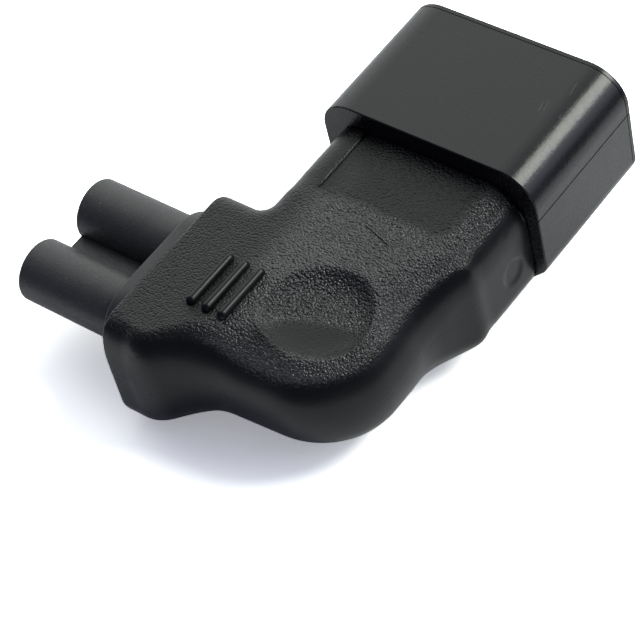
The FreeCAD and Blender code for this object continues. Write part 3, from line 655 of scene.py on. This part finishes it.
def add_rib(builder, across, side):
    """One round-ended rib, a little fuller at its near end than at its far end."""
    rings = []
    for step in range(1, RIB_STEPS):
        along = (1 - math.cos(math.pi * step / RIB_STEPS)) / 2
        y = RIB_NEAR + (RIB_FAR - RIB_NEAR) * along
        end_gap = min(y - RIB_NEAR, RIB_FAR - y)
        taper = math.sqrt(1 - (1 - min(end_gap / RIB_HALF_WIDTH, 1)) ** 2)
        full = RIB_NEAR_SCALE - RIB_SCALE_LOSS * along
        ring = []
        for turn in range(RIB_SIDES):
            angle = 2 * math.pi * turn / RIB_SIDES
            c, s = math.cos(angle), math.sin(angle)
            out = (abs(c) ** RIB_FULLNESS + abs(s) ** RIB_FULLNESS) ** (-1 / RIB_FULLNESS)
            rise = RIB_HEIGHT * full * taper if s > 0 else RIB_SUNK
            place_x = across + RIB_HALF_WIDTH * full * taper * out * c
            place_z = MID_HEIGHT + side * (ELBOW_HALF_HEIGHT + rise * out * s)
            ring.append(builder.verts.new((place_x, BARREL_AXIS_Y + y, place_z)))
        rings.append(ring)
    for first, second in zip(rings, rings[1:]):
        for i in range(RIB_SIDES):
            j = (i + 1) % RIB_SIDES
            builder.faces.new((first[i], first[j], second[j], second[i]))
    builder.faces.new(rings[0][::-1])
    builder.faces.new(rings[-1])


def build_ribs():
    """The grip ribs of both faces, smooth all over."""
    builder = bmesh.new()
    for side in (1, -1):
        for number in range(RIB_COUNT):
            add_rib(builder, RIB_FIRST + number * RIB_PITCH, side)
    bmesh.ops.recalc_face_normals(builder, faces=builder.faces)
    mesh = bpy.data.meshes.new("grip_ribs")
    to_smooth_mesh(builder, mesh)
    ribs = bpy.data.objects.new("grip_ribs", mesh)
    bpy.context.scene.collection.objects.link(ribs)
    mesh.attributes.new("grain", "FLOAT", "POINT")
    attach(ribs, "root")
    return ribs


def new_material(name, colour, roughness, metallic=0.0, sheen=0.5):
    """A material, its node tree, its shader with even values, and places in the shared frame."""
    material = bpy.data.materials.new(name)
    material.use_nodes = True
    tree = material.node_tree
    shader = tree.nodes["Principled BSDF"]
    shader.inputs["Base Color"].default_value = (*colour, 1)
    shader.inputs["Roughness"].default_value = roughness
    shader.inputs["Metallic"].default_value = metallic
    shader.inputs["Specular IOR Level"].default_value = sheen
    return material, tree, shader, add(tree, "TexCoord").outputs["Object"]


def uneven(tree, value, roughness, varies):
    """A roughness that varies either way with a noise."""
    return spread(tree, value, *MIDDLE, roughness - varies, roughness + varies)


def plan_line(tree, place, start, end, half_width):
    """1 along a straight line between two plan places, fading at its sides and ends."""
    start, end = Vector((*start, 0.0)), Vector((*end, 0.0))
    length = (end - start).length
    run = (end - start) / length
    from_start = add(tree, "VectorMath", {"operation": "SUBTRACT"}, {0: place, 1: start}).outputs["Vector"]
    along = dot(tree, from_start, run)
    aside = dot(tree, from_start, Vector((-run.y, run.x, 0.0)))
    line = spread(tree, math_node(tree, "ABSOLUTE", aside), 0.0, half_width, 1.0, 0.0)
    ends = math_node(tree, "MULTIPLY", spread(tree, along, 0.0, LINE_FADE),
                     spread(tree, along, length - LINE_FADE, length, 1.0, 0.0))
    return math_node(tree, "MULTIPLY", line, ends)


def grained_pvc():
    """Soft black plastic with leather grain where the mesh's grain attribute asks for it."""
    material, tree, shader, place = new_material("grained_pvc_look", SOFT_COLOUR, SOFT_ROUGHNESS,
                                                 sheen=SOFT_SHEEN)
    grain = add(tree, "Attribute", {"attribute_name": "grain"}).outputs["Fac"]
    level = height_of(tree, place)

    warp = add(tree, "TexNoise", None, {"Vector": place, "Scale": 1 / WARP_SIZE, "Detail": LITTLE_DETAIL})
    bent = add(tree, "VectorMath", {"operation": "MULTIPLY_ADD"},
               {0: warp.outputs["Color"], 1: (WARP_REACH,) * 3, 2: place}).outputs["Vector"]
    cells = add(tree, "TexVoronoi", None, {"Vector": bent, "Scale": 1 / GRAIN_CELL}).outputs["Distance"]
    pebbles = math_node(tree, "MULTIPLY", cells, cells)
    crumbs = math_node(tree, "MULTIPLY", noise(tree, place, CRUMB_SIZE, SOME_DETAIL), CRUMB_SHARE)
    normal = bumped(tree, math_node(tree, "SUBTRACT", crumbs, pebbles), grain, GRAIN_DEPTH)
    matt = noise(tree, place, MATT_SIZE, LITTLE_DETAIL)
    normal = bumped(tree, matt, MATT_STRENGTH, MATT_DEPTH, normal)
    off_parting = math_node(tree, "ABSOLUTE", math_node(tree, "SUBTRACT", level, MID_HEIGHT))
    parting = spread(tree, off_parting, 0.0, PARTING_HALF_WIDTH, 1.0, 0.0)
    normal = bumped(tree, parting, PARTING_STRENGTH, PARTING_DEPTH, normal, invert=True)

    cloud = noise(tree, place, SOFT_CLOUD_SIZE, MUCH_DETAIL)
    # Painted highlight: pale flecks on the pebble tops stand in for the grain's sparkles of light, over
    # the plastic's own black
    glint_weight = math_node(tree, "MULTIPLY", cloud, spread(tree, cells, *GLINT_BY_CELL))
    glint = spread(tree, noise(tree, place, GLINT_SIZE, LITTLE_DETAIL), *GLINT_BY_NOISE)
    painted_glints = blended(tree, math_node(tree, "MULTIPLY", glint_weight, glint), PIT_COLOUR, PAINTED_GLINT_COLOUR)
    colour = blended(tree, spread(tree, grain, *COLOUR_BY_GRAIN), SMOOTH_COLOUR, painted_glints)
    rub = plan_line(tree, place, *DOME_SCRATCH, DOME_SCRATCH_HALF_WIDTH)
    # Painted shade: a near-black line along the panel's left step, above the given level; the dome scratch
    # beside it is a real mark
    step_shade = plan_line(tree, place, *PANEL_STEP_SHADE, PANEL_STEP_SHADE_HALF_WIDTH)
    step_shade = math_node(tree, "MULTIPLY", step_shade, spread(tree, level, PANEL_STEP_SHADE_LEVEL, ELBOW_HIGH.z))
    colour = blended(tree, rub, colour, SCRATCH_COLOUR)
    colour = blended(tree, step_shade, colour, STEP_SHADE_COLOUR)
    # The scratch and the painted shade line both lose their sheen
    marks = math_node(tree, "MAXIMUM", step_shade, rub)
    sheen = math_node(tree, "MULTIPLY", spread(tree, grain, *SHEEN_BY_GRAIN),
                      spread(tree, marks, *SHEEN_BY_SCRATCH_AND_SHADE))
    roughness = math_node(tree, "ADD", spread(tree, grain, *ROUGHNESS_BY_GRAIN),
                          spread(tree, cloud, *ROUGHNESS_BY_CLOUD))
    wire(tree, shader, {"Base Color": colour, "Specular IOR Level": sheen, "Roughness": roughness,
                        "Normal": normal})
    return material


def shroud_look():
    """Hard satin black plastic with drawn streaks along the block, a faint mottle and a few scratches."""
    material, tree, shader, place = new_material("shroud_look", SHROUD_COLOUR, SHROUD_ROUGHNESS,
                                                 sheen=SHROUD_SHEEN)
    streaks = noise(tree, stretched(tree, place, STREAK_STRETCH), STREAK_SIZE, SOME_DETAIL)
    mottle = noise(tree, place, MOTTLE_SIZE, MUCH_DETAIL)
    cloud = noise(tree, place, SHROUD_CLOUD_SIZE, SOME_DETAIL)
    height = math_node(tree, "ADD", math_node(tree, "MULTIPLY", streaks, STREAK_SHARE), mottle)
    marks = 0.0
    for start, end in BLOCK_SCRATCHES:
        line = plan_line(tree, place, start, end, BLOCK_SCRATCH_HALF_WIDTH)
        marks = math_node(tree, "MAXIMUM", line, marks)
    marks = math_node(tree, "MULTIPLY", marks, spread(tree, height_of(tree, place), *BLOCK_SCRATCH_BAND))
    flecks = spread(tree, noise(tree, place, FLECK_SIZE, LITTLE_DETAIL), *FLECK_BY_NOISE)
    worn = math_node(tree, "MAXIMUM", marks, flecks)
    colour = blended(tree, cloud, SHROUD_DARK, SHROUD_LIGHT)
    roughness = math_node(tree, "ADD", spread(tree, cloud, *SHROUD_ROUGHNESS_BY_CLOUD),
                          spread(tree, mottle, *SHROUD_ROUGHNESS_BY_MOTTLE))
    wire(tree, shader, {"Base Color": blended(tree, worn, colour, SHROUD_WORN), "Roughness": roughness,
                        "Normal": bumped(tree, height, SHROUD_RELIEF_STRENGTH, SHROUD_RELIEF)})
    return material


def insert_look():
    """Matte black moulded plastic, a little dusty, with scattered pale specks."""
    material, tree, shader, place = new_material("insert_look", INSERT_COLOUR, INSERT_ROUGHNESS,
                                                 sheen=INSERT_SHEEN)
    skin = noise(tree, place, INSERT_SKIN_SIZE, MUCH_DETAIL)
    cloud = noise(tree, place, PLASTIC_CLOUD_SIZE, MUCH_DETAIL)
    colour = blended(tree, cloud, INSERT_DARK, INSERT_LIGHT)
    specks = spread(tree, noise(tree, place, SPECK_SIZE, LITTLE_DETAIL), *SPECK_BY_NOISE)
    wire(tree, shader, {"Base Color": blended(tree, specks, colour, SPECK_COLOUR),
                        "Roughness": spread(tree, skin, *INSERT_ROUGHNESS_BY_SKIN),
                        "Normal": bumped(tree, skin, 1.0, INSERT_SKIN_DEPTH)})
    return material


def jacket_look(name, dark, light):
    """Plain moulded wire insulation: mottled colour, uneven gloss and a fine skin grain."""
    material, tree, shader, place = new_material(name, light, JACKET_ROUGHNESS)
    skin = noise(tree, place, JACKET_SKIN_SIZE, MUCH_DETAIL)
    cloud = noise(tree, place, PLASTIC_CLOUD_SIZE, MUCH_DETAIL)
    gloss = uneven(tree, skin, JACKET_ROUGHNESS, JACKET_VARIES)
    wire(tree, shader, {"Base Color": blended(tree, cloud, dark, light), "Roughness": gloss,
                        "Normal": bumped(tree, skin, 1.0, JACKET_SKIN_DEPTH)})
    return material


def metal_look(name, dull, bright, roughness, stretch):
    """Bare metal drawn along one axis: tarnish in patches and fine lines along the draw."""
    material, tree, shader, place = new_material(name, bright, roughness, metallic=1.0)
    lines = noise(tree, stretched(tree, place, stretch), METAL_LINE_SIZE, SOME_DETAIL)
    cloud = noise(tree, place, METAL_CLOUD_SIZE, MUCH_DETAIL)
    gloss = uneven(tree, cloud, roughness, METAL_VARIES)
    wire(tree, shader, {"Base Color": blended(tree, cloud, dull, bright), "Roughness": gloss,
                        "Normal": bumped(tree, lines, METAL_LINE_STRENGTH, METAL_LINE_DEPTH)})
    return material


def dress(node, material):
    """Give a CAD node one material."""
    slots = NODES[node].data.materials
    slots.clear()
    slots.append(material)


bpy.context.scene.view_settings.view_transform = "Standard"
add_camera()
add_lamp()
add_world()
add_floor()
elbow = build_elbow()
ribs = build_ribs()
leather = grained_pvc()
elbow.data.materials.append(leather)
ribs.data.materials.append(leather)
dress("c14_housing", shroud_look())
dress("c7_insert", insert_look())
nickel = metal_look("nickel_look", *NICKEL)
brass = metal_look("brass_look", *BRASS)
copper = metal_look("copper_look", *COPPER)
brown = jacket_look("brown_jacket_look", *BROWN)
blue = jacket_look("blue_jacket_look", *BLUE)
for part in ("line", "neutral", "earth"):
    dress(f"{part}_blade", nickel)
for part, jacket in (("line", brown), ("neutral", blue)):
    dress(f"{part}_sleeve", brass)
    dress(f"{part}_core", copper)
    dress(f"{part}_insulation", jacket)
